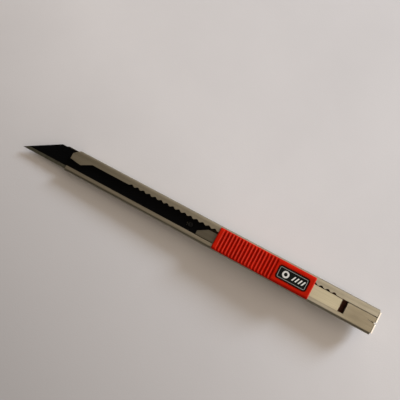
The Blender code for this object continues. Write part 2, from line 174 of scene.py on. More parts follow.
# Label plate, its border line and its plain marks
LABEL_REAR = 30.0
LABEL_FRONT = 42.9
LABEL_HALF_WIDTH = 2.6
LABEL_BOTTOM = 7.5
LABEL_TOP = 7.86
LABEL_CORNER = 0.9
RECESS_MARGIN = 0.35
RECESS_BOTTOM = 7.2
LINE_INSET = 0.42
LINE_WIDTH = 0.18
LINE_TOP = 7.9
PRINT_BOTTOM = LABEL_TOP - 0.02
RING_X = 39.4
RING_OUTER = 1.45
RING_INNER = 0.75
STRIPE_PLACES = (35.9, 34.5, 33.1, 31.7)
STRIPE_HALF_WIDTH = 0.3
STRIPE_HALF_HEIGHT = 0.95
STRIPE_LEAN = 0.45

# Tail clip
CLIP_SHEET = 0.5
CLIP_LEAF_FRONT = 11.5
CLIP_LEAF_Z = 1.05
CLIP_HALF_WIDTH = 4.5
CLIP_WALL_X = -0.6
CLIP_WALL_TOP = 4.6
# Painted highlight: how far down from the clip wall's top the near-white steel reaches
CLIP_GLINT_DEPTH = 0.22
CLIP_FOLD_RADIUS = 0.6
CLIP_BACK_Z = -0.6
CLIP_BOW_X = 29.0
CLIP_BOW_Z = -3.75
CLIP_PINCH_X = 45.0
CLIP_FLARE_X = 49.0
CLIP_FLARE_Z = -1.7
CLIP_TIP_HALF_WIDTH = 3.2
CLIP_SLOT_WIDTH = 0.7
CLIP_SLOT_BOTTOM = 2.2

# Table under the knife: it touches the nose and the lowest place of the clip
REST_FRONT = 150.0
REST_REAR = 29.0
REST_DROP = 4.02
TABLE_SIZE = 3.0
TABLE_GAP = 0.01

# Camera: place in the frame, its turns about X, Y and Z in degrees, and its field of view
CAMERA_PLACE = (-0.00803, 0.0085, 0.1804)
CAMERA_TURNS = (7.02, 3.847, -151.732)
CAMERA_FOV = 50.0

# Lights: a soft cool key from beyond the spine side, and a low glint that only reflections see
KEY_DIRECTION = Vector((-0.48, -0.78, 0.40)).normalized()
KEY_DISTANCE = 1.6
KEY_SIZE = 0.50
KEY_POWER = 23.0
KEY_COLOUR = (0.77, 0.87, 1.0)
GLINT_DIRECTION = Vector((-0.97, -0.10, 0.22)).normalized()
GLINT_DISTANCE = 0.6
GLINT_SIZE = 0.25
GLINT_POWER = 5.0
TO_BRIGHT_SIDE = (-0.98, -0.20, 0.0)
TO_DARK_SIDE = (0.0, 1.0, 0.0)
TO_PAINTED_FALLOFF_CORNER = (0.40, 0.92, 0.0)

# Surroundings: how far towards the bright side, and the colour there
SURROUNDINGS = (
    (0.0, (0.12, 0.096, 0.072)),
    (0.34, (0.25, 0.205, 0.158)),
    (0.48, (0.42, 0.352, 0.283)),
    (0.59, (0.90, 0.770, 0.635)),
    (0.66, (1.28, 1.120, 0.930)),
    (1.0, (1.30, 1.130, 0.950)),
)
# Fade towards the dark side: where it starts and ends, and the strength at both
DARK_SIDE_FADE = (0.08, 0.55, 1.0, 0.10)


# Shapes


def along(distance):
    """Distance from the channel's tail end to the frame's x."""
    return distance - BODY_LENGTH / 2


def to_frame(point):
    return (Vector(point) - WALL_CENTRE) * MM


def new_object(name, bm):
    """Mesh laid out in millimetres becomes an object in the frame, in metres, with its origin at zero."""
    bmesh.ops.recalc_face_normals(bm, faces=bm.faces)
    bmesh.ops.translate(bm, verts=bm.verts, vec=-WALL_CENTRE)
    bmesh.ops.scale(bm, verts=bm.verts, vec=(MM, MM, MM))
    mesh = bpy.data.meshes.new(name)
    bm.to_mesh(mesh)
    bm.free()
    item = bpy.data.objects.new(name, mesh)
    bpy.context.scene.collection.objects.link(item)
    return item


def combine(target, bm, operation):
    """Applies a boolean at once and leaves no cutter in the scene."""
    other = new_object("cutter", bm)
    modifier = target.modifiers.new("cut", "BOOLEAN")
    modifier.operation = operation
    modifier.solver = "EXACT"
    modifier.object = other
    bake(target)
    bpy.data.objects.remove(other, do_unlink=True)


def bake(item):
    """Replaces an object's mesh with the result of its modifiers."""
    graph = bpy.context.evaluated_depsgraph_get()
    graph.update()
    mesh = bpy.data.meshes.new_from_object(item.evaluated_get(graph))
    old = item.data
    item.modifiers.clear()
    item.data = mesh
    bpy.data.meshes.remove(old)


def soften(item, width, segments=2, angle=35.0):
    """Rounds the sharp edges a little, as a stamped or moulded edge is."""
    modifier = item.modifiers.new("soften", "BEVEL")
    modifier.width = width * MM
    modifier.segments = segments
    modifier.limit_method = "ANGLE"
    modifier.angle_limit = math.radians(angle)
    modifier.use_clamp_overlap = True
    modifier.harden_normals = False
    bake(item)


def smooth(item, angle):
    """Smooth shading up to a given angle, with normals that keep the large flats flat."""
    item.data.shade_smooth()
    item.data.set_sharp_from_angle(angle=math.radians(angle))
    modifier = item.modifiers.new("flat_normals", "WEIGHTED_NORMAL")
    modifier.keep_sharp = True
    bake(item)


def loft(rings):
    """Closed body through a row of rings that hold equally many points."""
    bm = bmesh.new()
    rows = [[bm.verts.new(point) for point in ring] for ring in rings]
    count = len(rows[0])
    for lower, upper in zip(rows, rows[1:]):
        for i in range(count):
            j = (i + 1) % count
            bm.faces.new((lower[i], lower[j], upper[j], upper[i]))
    bm.faces.new(rows[0])
    bm.faces.new(rows[-1])
    return bm


def prism(outline, low, high):
    return loft([[(along(x), y, z) for x, y in outline] for z in (low, high)])


def box(x0, x1, y0, y1, z0, z1):
    return prism(((x0, y0), (x1, y0), (x1, y1), (x0, y1)), z0, z1)


def arc(centre, radius, start, end, steps):
    """Points on an arc, angles in degrees."""
    points = []
    for i in range(steps + 1):
        angle = math.radians(start + (end - start) * i / steps)
        points.append((centre[0] + radius * math.cos(angle), centre[1] + radius * math.sin(angle)))
    return points


def circle(centre, radius, steps=64):
    return arc(centre, radius, 0.0, 360.0 - 360.0 / steps, steps - 1)


def fillet(before, corner, after, radius, steps=8):
    """Points of the arc that rounds a corner of an outline."""
    corner = Vector(corner)
    back = (Vector(before) - corner).normalized()
    ahead = (Vector(after) - corner).normalized()
    half = back.angle(ahead) / 2.0
    centre = corner + (back + ahead).normalized() * (radius / math.sin(half))
    start = corner + back * (radius / math.tan(half)) - centre
    end = corner + ahead * (radius / math.tan(half)) - centre
    points = []
    for i in range(steps + 1):
        spoke = start.slerp(end, i / steps)
        points.append(tuple(centre + spoke.normalized() * radius))
    return points


def rounded_rectangle(x0, x1, y0, y1, radius, steps=8):
    corners = ((x0, y0), (x1, y0), (x1, y1), (x0, y1))
    points = []
    for i in range(4):
        points += fillet(corners[i - 1], corners[i], corners[(i + 1) % 4], radius, steps)
    return points


def smooth_step(value):
    value = min(max(value, 0.0), 1.0)
    return value * value * (3.0 - 2.0 * value)


def frame_line(outer, inner, low, high):
    """Closed band between two outlines with equally many points."""
    bm = bmesh.new()
    rings = []
    for outline, z in ((outer, low), (outer, high), (inner, high), (inner, low)):
        rings.append([bm.verts.new((along(x), y, z)) for x, y in outline])
    count = len(outer)
    for k in range(4):
        ring, following = rings[k], rings[(k + 1) % 4]
        for i in range(count):
            j = (i + 1) % count
            bm.faces.new((ring[i], ring[j], following[j], following[i]))
    return bm


def offset_ring(path, thickness):
    """Closed outline of a strip of even thickness around an open path."""
    left, right = [], []
    for i, point in enumerate(path):
        spans = []
        if i > 0:
            spans.append((Vector(point) - Vector(path[i - 1])).normalized())
        if i < len(path) - 1:
            spans.append((Vector(path[i + 1]) - Vector(point)).normalized())
        direction = sum(spans, Vector((0.0, 0.0))).normalized()
        reach = thickness / 2.0 / max(direction.dot(spans[0]), 0.5)
        normal = Vector((-direction.y, direction.x)) * reach
        left.append((point[0] + normal.x, point[1] + normal.y))
        right.append((point[0] - normal.x, point[1] - normal.y))
    return left + right[::-1]


def bent_strip(path, thickness, edges):
    """Strip whose path runs in the XZ plane, with its two edges at a given y for each place."""
    outline = offset_ring(path, thickness)
    rings = []
    for i, (low, high) in enumerate(edges):
        x0, z0 = outline[i]
        x1, z1 = outline[-1 - i]
        corners = ((x0, low, z0), (x0, high, z0), (x1, high, z1), (x1, low, z1))
        rings.append([(along(x), y, z) for x, y, z in corners])
    return loft(rings)


# Materials


class Nodes:
    """Short calls for building a node material on one Principled shader."""

    def __init__(self, name):
        self.material = bpy.data.materials.new(name)
        self.material.use_nodes = True
        self.tree = self.material.node_tree
        self.shader = self.tree.nodes["Principled BSDF"]
        self.place = self.tree.nodes.new("ShaderNodeTexCoord").outputs["Object"]

    def plug(self, value, socket):
        if isinstance(value, bpy.types.NodeSocket):
            self.tree.links.new(value, socket)
        else:
            socket.default_value = value

    def noise(self, stretch, detail=3.0, roughness=0.55):
        """Noise in the frame, with a scale per metre along each axis."""
        mapping = self.tree.nodes.new("ShaderNodeMapping")
        self.tree.links.new(self.place, mapping.inputs["Vector"])
        mapping.inputs["Scale"].default_value = stretch
        texture = self.tree.nodes.new("ShaderNodeTexNoise")
        self.tree.links.new(mapping.outputs["Vector"], texture.inputs["Vector"])
        texture.inputs["Scale"].default_value = 1.0
        texture.inputs["Detail"].default_value = detail
        texture.inputs["Roughness"].default_value = roughness
        return texture.outputs["Fac"]

    def height_along(self, direction):
        """How far a place lies along a direction, in metres."""
        node = self.tree.nodes.new("ShaderNodeVectorMath")
        node.operation = "DOT_PRODUCT"
        self.tree.links.new(self.place, node.inputs[0])
        node.inputs[1].default_value = direction
        return node.outputs["Value"]

    def spread(self, value, low, high, to_low=0.0, to_high=1.0):
        node = self.tree.nodes.new("ShaderNodeMapRange")
        self.plug(value, node.inputs["Value"])
        for socket, number in zip(node.inputs[1:5], (low, high, to_low, to_high)):
            socket.default_value = number
        return node.outputs["Result"]

    def mix(self, share, first, second, blend="MIX"):
        node = self.tree.nodes.new("ShaderNodeMix")
        node.data_type = "RGBA"
        node.blend_type = blend
        self.plug(share, node.inputs["Factor"])
        for value, socket in ((first, node.inputs[6]), (second, node.inputs[7])):
            self.plug((*value, 1.0) if isinstance(value, tuple) else value, socket)
        return node.outputs[2]

    def math(self, operation, first, second):
        node = self.tree.nodes.new("ShaderNodeMath")
        node.operation = operation
        self.plug(first, node.inputs[0])
        self.plug(second, node.inputs[1])
        return node.outputs["Value"]

    def edge_share(self, radius=0.00015):
        """Share of an edge, from 0 on flats to 1 where the surface turns within a small radius."""
        rounded = self.tree.nodes.new("ShaderNodeBevel")
        rounded.samples = 4
        rounded.inputs["Radius"].default_value = radius
        geometry = self.tree.nodes.new("ShaderNodeNewGeometry")
        dot = self.tree.nodes.new("ShaderNodeVectorMath")
        dot.operation = "DOT_PRODUCT"
        self.tree.links.new(rounded.outputs["Normal"], dot.inputs[0])
        self.tree.links.new(geometry.outputs["Normal"], dot.inputs[1])
        return self.spread(dot.outputs["Value"], 0.98, 0.75)

    def crevice(self, distance):
        """Share of enclosure, from 0 in the open to 1 deep in a groove."""
        open_share = self.tree.nodes.new("ShaderNodeAmbientOcclusion")
        open_share.samples = 6
        open_share.inputs["Distance"].default_value = distance
        return self.spread(open_share.outputs["AO"], 0.95, 0.45)

    def bump(self, height, distance, strength):
        node = self.tree.nodes.new("ShaderNodeBump")
        node.inputs["Strength"].default_value = strength
        node.inputs["Distance"].default_value = distance
        self.plug(height, node.inputs["Height"])
        self.tree.links.new(node.outputs["Normal"], self.shader.inputs["Normal"])

    def set(self, name, value):
        self.plug(value, self.shader.inputs[name])


def tab_shade(nodes):
    """The tab is coloured darker than the lips: where that darker tone lies, and the tone."""
    near_tail = nodes.spread(nodes.height_along((-1.0, 0.0, 0.0)), 0.050, 0.062)
    past_gap = nodes.spread(nodes.height_along((0.0, 1.0, 0.0)), 0.0032, 0.0035)
    return nodes.math("MULTIPLY", near_tail, past_gap), (0.80, 0.76, 0.70)


def tail_shade(nodes):
    """The channel's inner faces are browner near the tail."""
    return nodes.spread(nodes.height_along((-1.0, 0.0, 0.0)), 0.050, 0.055), (3.0, 1.5, 1.4)


def painted_shade_low_carrier(nodes):
    """Painted shade: the carrier's low front end, deep under the lips, is darkened."""
    return nodes.spread(nodes.height_along((0.0, 0.0, -1.0)), -0.0010, -0.0002), (0.34, 0.34, 0.36)


def brushed(name, dark, light, rough_low, rough_high, stretch, wear_and_highlight_share=0.5, shade=None):
    """Rolled or brushed steel: fine lines along one direction, faint stains, and edges lightened partly by
    rubbing and partly as painted highlight.
    """
    nodes = Nodes(name)
    lines = nodes.noise(stretch, 4.0, 0.7)
    stains = nodes.noise((110.0, 160.0, 160.0), 4.0, 0.6)
    specks = nodes.noise((2600.0, 2600.0, 2600.0), 2.0, 0.5)
    bands = nodes.noise(tuple(share * scale for share, scale in zip((0.5, 0.17, 0.17), stretch)), 3.0, 0.6)
    grain = nodes.math("ADD", nodes.math("MULTIPLY", lines, 0.55), nodes.math("MULTIPLY", bands, 0.45))
    colour = nodes.mix(nodes.spread(grain, 0.38, 0.62), dark, light)
    tint = tuple(0.80 * channel for channel in dark)
    colour = nodes.mix(nodes.spread(stains, 0.50, 0.78, 0.0, 0.45), colour, tint)
    colour = nodes.mix(nodes.spread(specks, 0.66, 0.80, 0.0, 0.35), colour, tint)
    if shade:
        share, tone = shade(nodes)
        colour = nodes.mix(share, colour, tone, "MULTIPLY")
    # Edges are lightened partly by rubbing and partly as a painted highlight
    bright = tuple(min(1.0, 1.35 * channel) for channel in light)
    edge_lightening = nodes.math("MULTIPLY", nodes.edge_share(), wear_and_highlight_share)
    nodes.set("Base Color", nodes.mix(edge_lightening, colour, bright))
    nodes.set("Metallic", 1.0)
    blurred = nodes.math("ADD", nodes.math("MULTIPLY", lines, 0.6), nodes.math("MULTIPLY", stains, 0.4))
    nodes.set("Roughness", nodes.spread(blurred, 0.3, 0.7, rough_low, rough_high))
    nodes.bump(nodes.math("ADD", lines, nodes.math("MULTIPLY", specks, 0.3)), 0.00002, 0.35)
    return nodes.material


def moulded_red(name):
    """Moulded plastic: fine grain, slight colour changes, rib tops lightened by rubbing and painted
    highlight, grooves in painted shade.
    """
    nodes = Nodes(name)
    grain = nodes.noise((5200.0, 5200.0, 5200.0), 2.0, 0.5)
    cloud = nodes.noise((170.0, 170.0, 170.0), 4.0, 0.6)
    colour = nodes.mix(nodes.spread(cloud, 0.35, 0.70), (0.43, 0.0072, 0.0018), (0.53, 0.0110, 0.0026))
    # Painted shade: the grooves are darkened where they are enclosed
    painted_groove_shade = nodes.math("MULTIPLY", nodes.crevice(0.0007), 0.7)
    colour = nodes.mix(painted_groove_shade, colour, (0.17, 0.0012, 0.0006))
    # Rib tops lightened: partly rubbing, partly painted highlight
    colour = nodes.mix(nodes.math("MULTIPLY", nodes.edge_share(0.00025), 0.42), colour, (0.68, 0.036, 0.008))
    nodes.set("Base Color", colour)
    nodes.set("Roughness", nodes.spread(cloud, 0.3, 0.7, 0.34, 0.46))
    nodes.set("Specular IOR Level", 0.10)
    nodes.set("Specular Tint", (1.0, 0.42, 0.20, 1.0))
    nodes.bump(grain, 0.00002, 0.25)
    return nodes.material


def oxide_black(name, dark, light, specular):
    """Black oxide on steel: near black, long faint grinding lines, steel showing at rubbed edges."""
    nodes = Nodes(name)
    lines = nodes.noise((60.0, 7500.0, 7500.0), 4.0, 0.7)
    smear = nodes.noise((140.0, 220.0, 220.0), 4.0, 0.6)
    colour = nodes.mix(nodes.spread(lines, 0.3, 0.7), dark, light)
    edge_lightening = nodes.math("MULTIPLY", nodes.edge_share(0.0001), 0.10)
    nodes.set("Base Color", nodes.mix(edge_lightening, colour, (0.09, 0.087, 0.080)))
    nodes.set("Roughness", nodes.spread(smear, 0.3, 0.7, 0.34, 0.50))
    nodes.set("Specular IOR Level", specular)
    nodes.bump(lines, 0.00001, 0.3)
    return nodes.material


def plain_black(name, rough):
    """Smooth black plastic with faint clouds in its colour and gloss."""
    nodes = Nodes(name)
    cloud = nodes.noise((400.0, 400.0, 400.0), 4.0, 0.6)
    grain = nodes.noise((6000.0, 6000.0, 6000.0), 2.0, 0.5)
    share = nodes.spread(cloud, 0.3, 0.7)
    nodes.set("Base Color", nodes.mix(share, (0.003, 0.004, 0.0035), (0.006, 0.007, 0.0062)))
    nodes.set("Roughness", nodes.spread(cloud, 0.3, 0.7, rough, rough + 0.12))
    nodes.set("Specular IOR Level", 0.08)
    nodes.bump(grain, 0.00001, 0.15)
    return nodes.material


def printed(name, colour, rough):
    """Thin printed film with a slightly uneven edge tone."""
    nodes = Nodes(name)
    cloud = nodes.noise((1500.0, 1500.0, 1500.0), 3.0, 0.6)
    faded = tuple(0.78 * channel for channel in colour)
    nodes.set("Base Color", nodes.mix(nodes.spread(cloud, 0.35, 0.65), faded, colour))
    nodes.set("Roughness", nodes.spread(cloud, 0.3, 0.7, rough, rough + 0.1))
    nodes.bump(cloud, 0.00001, 0.1)
    return nodes.material


def paper(name):
    """Pale paper with soft fibres, darkened towards one corner by painted shade where less light falls."""
    nodes = Nodes(name)
    cloud = nodes.noise((14.0, 14.0, 14.0), 4.0, 0.6)
    fibre = nodes.noise((1700.0, 1700.0, 1700.0), 4.0, 0.65)
    colour = nodes.mix(nodes.spread(cloud, 0.3, 0.7), (0.700, 0.678, 0.680), (0.744, 0.721, 0.723))
    # Painted shade: the light's falloff towards one corner
    shade = nodes.spread(nodes.height_along(TO_PAINTED_FALLOFF_CORNER), -0.015, 0.115)
    nodes.set("Base Color", nodes.mix(shade, colour, (0.46, 0.446, 0.448)))
    nodes.set("Roughness", 0.85)
    nodes.set("Specular IOR Level", 0.2)
    nodes.bump(fibre, 0.0001, 0.35)
    return nodes.material


LENGTHWISE = (45.0, 5200.0, 5200.0)
ACROSS = (5200.0, 260.0, 260.0)
UPRIGHT = (3000.0, 3000.0, 300.0)

STEEL = brushed(
    "channel_sheet", (0.31, 0.288, 0.228), (0.425, 0.397, 0.322), 0.30, 0.44, LENGTHWISE, shade=tab_shade
)
# Painted shade: much darker steel on the channel's inner faces; the nose's top gets the same dark steel
DARK_STEEL_AND_PAINTED_SHADE = brushed(
    "channel_dark_steel_and_painted_shade", (0.055, 0.046, 0.034), (0.085, 0.073, 0.055), 0.45, 0.6, LENGTHWISE, 0.1, tail_shade
)
CLIP_STEEL = brushed("clip_sheet", (0.33, 0.305, 0.24), (0.42, 0.39, 0.315), 0.28, 0.42, LENGTHWISE)
# Painted highlight: near-white, smooth steel on the top of the clip's end wall stands in for its glints
PAINTED_GLINT_STEEL = brushed("clip_painted_glint", (0.86, 0.84, 0.80), (0.97, 0.95, 0.91), 0.16, 0.24, ACROSS)
# Painted shade on the carrier's low front end darkens this steel
BRIGHT_STEEL = brushed(
    "carrier_sheet", (0.47, 0.44, 0.33), (0.59, 0.555, 0.425), 0.28, 0.42, LENGTHWISE, shade=painted_shade_low_carrier
)
RIVET_STEEL = brushed("turned_rivet", (0.50, 0.49, 0.47), (0.66, 0.65, 0.62), 0.20, 0.32, UPRIGHT)
SPRING_STEEL = brushed("spring_strip", (0.40, 0.38, 0.34), (0.54, 0.52, 0.47), 0.28, 0.40, LENGTHWISE)
GROUND_STEEL = brushed("ground_edge", (0.15, 0.155, 0.12), (0.24, 0.24, 0.20), 0.34, 0.48, ACROSS)
BLACK_OXIDE = oxide_black("blade_oxide", (0.0008, 0.0008, 0.0010), (0.0026, 0.0026, 0.0030), 0.04)
STUD_BLACK = oxide_black("stud_oxide", (0.002, 0.002, 0.002), (0.005, 0.005, 0.005), 0.12)
RED = moulded_red("slide_plastic")
LABEL_BLACK = plain_black("label_plastic", 0.26)
SILVER_LINE = printed("label_line", (0.36, 0.36, 0.34), 0.35)
WHITE_PRINT = printed("label_mark", (0.80, 0.79, 0.74), 0.45)


# Pieces


def finish_piece(item, material, body, slot, *replaced, angle=32.0):
    if not item.data.materials:
        item.data.materials.append(material)
    smooth(item, angle)
    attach(item, body)
    if replaced:
        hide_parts(*replaced)
    return item


def channel_bar(inset, radius, rear, front):
    half = BODY_WIDTH / 2 - inset
    section = rounded_rectangle(-half, half, inset, BODY_HEIGHT - inset, radius, 10)
    return loft([[(along(x), y, z) for y, z in section] for x in (rear, front)])


def lip_opening():
    far = BODY_LENGTH + BEYOND * 2.0
    outline = [(-BEYOND, UPPER_LIP_Y)]
    start = WAVE_FIRST - WAVE_PITCH / 2
    for i in range(WAVE_NOTCHES * WAVE_STEPS + 1):
        depth = WAVE_DEPTH * (0.5 - 0.5 * math.cos(2.0 * math.pi * i / WAVE_STEPS))
        outline.append((start + WAVE_PITCH * i / WAVE_STEPS, UPPER_LIP_Y - depth))
    outline += [(CHEEK_REAR, UPPER_LIP_Y), (CHEEK_FRONT, CHEEK_Y), (BODY_LENGTH, CHEEK_END_Y)]
    outline += [(far, CHEEK_END_Y), (far, LOWER_LIP_Y), (TAB_FRONT, LOWER_LIP_Y)]
    outline += fillet((TAB_FRONT, LOWER_LIP_Y), (TAB_FRONT, TAB_Y), (-BEYOND, TAB_Y), TAB_CORNER)
    outline += [(-BEYOND, TAB_Y)]
    return prism(outline, BODY_HEIGHT / 2, BODY_HEIGHT + CLEAR)


def front_cut():
    side = BODY_WIDTH / 2
    wide = side + 2.0
    far = BODY_LENGTH + BEYOND * 2.0
    slope = (BODY_LENGTH - CHAMFER_REAR) / (CHAMFER_Y + side)
    outline = (
        (BODY_LENGTH, wide),
        (BODY_LENGTH, CHAMFER_Y),
        (BODY_LENGTH - slope * (CHAMFER_Y + wide), -wide),
        (far, -wide),
        (far, wide),
    )
    return prism(outline, SHEET, BODY_HEIGHT + CLEAR)


def nose_cut():
    side = BODY_WIDTH / 2
    far = BODY_LENGTH + BEYOND * 2.0
    upper = Vector((NOSE_UPPER, NOSE_UPPER_Y))
    tip = Vector((NOSE_TIP, NOSE_TIP_Y))
    lower = Vector((NOSE_LOWER, side))
    lower_out = lower + (lower - tip).normalized() * BEYOND
    step = CHAMFER_REAR + NOSE_STEP
    outline = [(step, -side - BEYOND), (step, NOSE_UPPER_Y), tuple(upper)]
    outline += fillet(upper, tip, lower, NOSE_ROUND)
    outline += [tuple(lower_out), (far, lower_out.y), (far, -side - BEYOND)]
    return prism(outline, -CLEAR, BODY_HEIGHT)


def make_channel():
    body = new_object("channel", channel_bar(0.0, BEND_RADIUS, 0.0, NOSE_TIP + CLEAR))
    hollow = channel_bar(SHEET, BEND_RADIUS - SHEET, -BEYOND, BODY_LENGTH + BEYOND * 2.0)
    combine(body, hollow, "DIFFERENCE")
    combine(body, lip_opening(), "DIFFERENCE")
    combine(body, front_cut(), "DIFFERENCE")
    combine(body, nose_cut(), "DIFFERENCE")
    half = KERF_WIDTH / 2
    kerf = box(-BEYOND, KERF_LENGTH, KERF_Y - half, KERF_Y + half, BODY_HEIGHT / 2, BODY_HEIGHT + CLEAR)
    combine(body, kerf, "DIFFERENCE")
    soften(body, 0.06)
    paint_inside(body)
    return finish_piece(body, STEEL, "body", "channel_steel", "body_channel")


def paint_inside(body):
    """Painted shade: the inner faces get a much darker steel; the nose, save its underside, gets it too."""
    body.data.materials.append(STEEL)
    body.data.materials.append(DARK_STEEL_AND_PAINTED_SHADE)
    margin = INSIDE_MARGIN
    low = to_frame((0.0, margin - BODY_WIDTH / 2, margin))
    high = to_frame((0.0, BODY_WIDTH / 2 - margin, BODY_HEIGHT - margin))
    wall_end = to_frame((along(BODY_LENGTH) + 0.1, 0.0, 0.0)).x
    for face in body.data.polygons:
        inside = low.y < face.center.y < high.y and low.z < face.center.z < high.z
        nose = face.center.x > wall_end and face.normal.z > -0.5
        face.material_index = 1 if inside or nose else 0


def make_blade():
    top = BLADE_BOTTOM + BLADE_THICKNESS
    middle = BLADE_BOTTOM + BLADE_THICKNESS / 2
    spine_y = BLADE_EDGE_Y - BLADE_WIDTH
    bevel_y = BLADE_EDGE_Y - BEVEL_WIDTH
    stations = [(BLADE_TIP, 0.0)]
    for i in range(1, SCORE_COUNT + 1):
        place = BLADE_TIP - i * SCORE_PITCH
        stations += [(place + SCORE_HALF_WIDTH, 0.0), (place, SCORE_DEPTH), (place - SCORE_HALF_WIDTH, 0.0)]
    stations.append((BLADE_LAST_SECTION, 0.0))
    rings = []
    for edge_x, groove in stations:
        section = (
            (BLADE_EDGE_Y, middle - EDGE_LAND / 2),
            (BLADE_EDGE_Y, middle + EDGE_LAND / 2),
            (bevel_y, top - groove),
            (BLADE_REAR_Y, top - groove),
            (spine_y, top - groove),
            (spine_y, BLADE_BOTTOM),
            (BLADE_REAR_Y, BLADE_BOTTOM),
            (bevel_y, BLADE_BOTTOM),
        )
        rings.append([(along(edge_x - (BLADE_EDGE_Y - y) * BLADE_RUN), y, z) for y, z in section])
    heel = [(along(BLADE_REAR - max(BLADE_REAR_Y - y, 0.0) * BLADE_RUN), y, z) for _, y, z in rings[0]]
    rings.append(heel)
    blade = new_object("snap_blade", loft(rings))
    combine(blade, prism(circle((STUD_X, STUD_Y), STUD_HOLE_RADIUS), 0.0, BODY_HEIGHT), "DIFFERENCE")
    blade.data.materials.clear()
    blade.data.materials.append(BLACK_OXIDE)
    blade.data.materials.append(GROUND_STEEL)
    limit = to_frame((0.0, bevel_y, 0.0)).y - 1e-6
    for face in blade.data.polygons:
        on_bevel = all(blade.data.vertices[v].co.y >= limit for v in face.vertices)
        face.material_index = 1 if on_bevel else 0
    return finish_piece(blade, BLACK_OXIDE, "slider", "blade_black", "blade", angle=5.0)


def make_carrier():
    path = [(x, z) for x, z, _, _ in CARRIER_STATIONS]
    edges = [(low, high) for _, _, low, high in CARRIER_STATIONS]
    carrier = new_object("carrier_plate", bent_strip(path, PLATE, edges))
    combine(carrier, prism(circle((STUD_X, STUD_Y), STUD_HOLE_RADIUS), 0.0, BODY_HEIGHT), "DIFFERENCE")
    for x in RIVET_PLACES:
        hole = prism(circle((x, RIVET_Y), RIVET_HOLE_RADIUS), PLATE_LOW, BODY_HEIGHT)
        combine(carrier, hole, "DIFFERENCE")
    soften(carrier, 0.05)
    return finish_piece(carrier, BRIGHT_STEEL, "slider", "carrier_steel", "blade_carrier")


def make_stud():
    """Turned pin with a flange below, a rounded top and a shallow dimple."""
    rings = [[(along(x), y, z) for x, y in circle((STUD_X, STUD_Y), r)] for z, r in STUD_PROFILE]
    stud = new_object("turned_stud", loft(rings))
    return finish_piece(stud, STUD_BLACK, "slider", "stud_steel", "blade_stud")


def slide_top(x):
    rise = smooth_step(1.0 - (x - PAD_FRONT) / PAD_BLEND)
    return SLIDE_TOP_FRONT + (SLIDE_TOP_PAD - SLIDE_TOP_FRONT) * rise


def slide_stations():
    """Places along the slide with the drop of its rounded ends and the depth of the grooves there."""
    ends = []
    for i in range(END_STEPS):
        angle = math.radians(90.0 * i / END_STEPS)
        ends.append((SLIDE_ROUND * (1.0 - math.cos(angle)), SLIDE_ROUND * (1.0 - math.sin(angle))))
    stations = [(SLIDE_REAR + back, drop, 0.0) for back, drop in ends]
    stations.append((SLIDE_REAR + SLIDE_ROUND, 0.0, 0.0))
    rear = RIB_FRONT - RIB_PITCH * RIB_COUNT
    for i in range(RIB_COUNT * RIB_STEPS + 1):
        wave = 0.5 - 0.5 * math.cos(2.0 * math.pi * i / RIB_STEPS)
        stations.append((rear + RIB_PITCH * i / RIB_STEPS, 0.0, RIB_DEPTH * wave**GROOVE_SHARPNESS))
    stations.append((SLIDE_FRONT - SLIDE_ROUND, 0.0, 0.0))
    stations += [(SLIDE_FRONT - back, drop, 0.0) for back, drop in reversed(ends)]
    return stations


def make_slide():
    side = SLIDE_HALF_WIDTH
    rings = []
    for x, drop, groove in slide_stations():
        top = slide_top(x) - drop
        half = []
        for i in range(SHOULDER_STEPS + 1):
            angle = math.radians(90.0 * i / SHOULDER_STEPS)
            inward = SHOULDER_REACH * (1.0 - math.cos(angle)) + END_NARROWING * drop
            lower = SHOULDER_DROP * (1.0 - math.sin(angle))
            half.append((side - inward, top - max(lower, groove)))
        ring = [(-y, z) for y, z in half] + [(y, z) for y, z in reversed(half)]
        ring += [(half[0][0], SLIDE_BOTTOM), (-half[0][0], SLIDE_BOTTOM)]
        rings.append([(along(x), SLIDE_MIDDLE_Y + y, z) for y, z in ring])
    slide = new_object("ribbed_slide", loft(rings))

    start = math.degrees(math.asin((NECK_UPPER_Y - KNOB_Y) / SOCKET_RADIUS))
    outline = [(NECK_REAR, NECK_LOWER_Y), (NECK_FRONT, NECK_LOWER_Y), (NECK_FRONT, NECK_UPPER_Y)]
    outline += arc((KNOB_X, KNOB_Y), SOCKET_RADIUS, start, 180.0 - start, 24)
    outline += [(NECK_REAR, NECK_UPPER_Y)]
    combine(slide, prism(outline, NECK_BOTTOM, SLIDE_BOTTOM + NECK_OVERLAP), "UNION")

    margin = RECESS_MARGIN
    half = LABEL_HALF_WIDTH + margin
    low, high = LABEL_REAR - margin, LABEL_FRONT + margin
    outline = rounded_rectangle(low, high, -half, half, LABEL_CORNER + margin)
    combine(slide, prism(outline, RECESS_BOTTOM, SLIDE_TOP_PAD + CLEAR), "DIFFERENCE")
    for x in RIVET_PLACES:
        bore = prism(circle((x, RIVET_Y), RIVET_HOLE_RADIUS, 32), NECK_BOTTOM - CLEAR, RIVET_HOLE_TOP)
        combine(slide, bore, "DIFFERENCE")
    soften(slide, 0.16, 3, 50.0)
    return finish_piece(slide, RED, "slider", "slide_red", "thumb_slide", angle=40.0)


